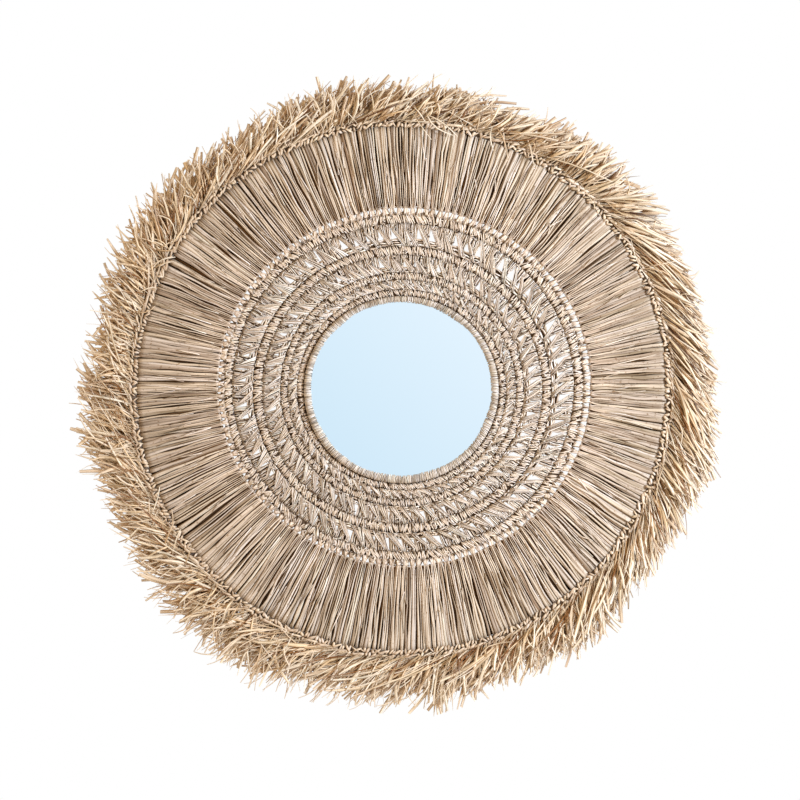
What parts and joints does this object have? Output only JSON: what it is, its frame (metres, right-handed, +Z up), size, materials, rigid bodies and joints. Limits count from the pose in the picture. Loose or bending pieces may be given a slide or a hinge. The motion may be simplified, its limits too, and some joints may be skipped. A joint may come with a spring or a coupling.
{
  "type": "wall mirror",
  "caption": "Round wall mirror in a natural raffia frame: whipped rim, crocheted openwork, radial straw band, knotted border and swept fringe.",
  "frame": {"origin": "middle of the backing board's back face, on the wall", "axes": "+Z up the wall, +Y into the wall, so the mirror faces -Y and +X is to the right as one looks at it"},
  "size_m": [0.8072, 0.038, 0.7908],
  "materials": {
    "board": "brown hardboard, matte",
    "mirror": "silvered glass, polished",
    "raffia_whipping": "natural raffia, whipped",
    "raffia_crochet": "natural raffia, crocheted",
    "raffia_straw": "natural raffia, laid straight",
    "raffia_knots": "natural raffia, knotted",
    "raffia_fringe": "natural raffia, cut ends"
  },
  "bodies": {
    "root": {"backing_board": "board", "mirror_glass": "mirror", "mirror_rim": "raffia_whipping", "crochet_band": "raffia_crochet", "straw_band": "raffia_straw", "knotted_border": "raffia_knots", "fringe": "raffia_fringe"}
  },
  "joints": []
}
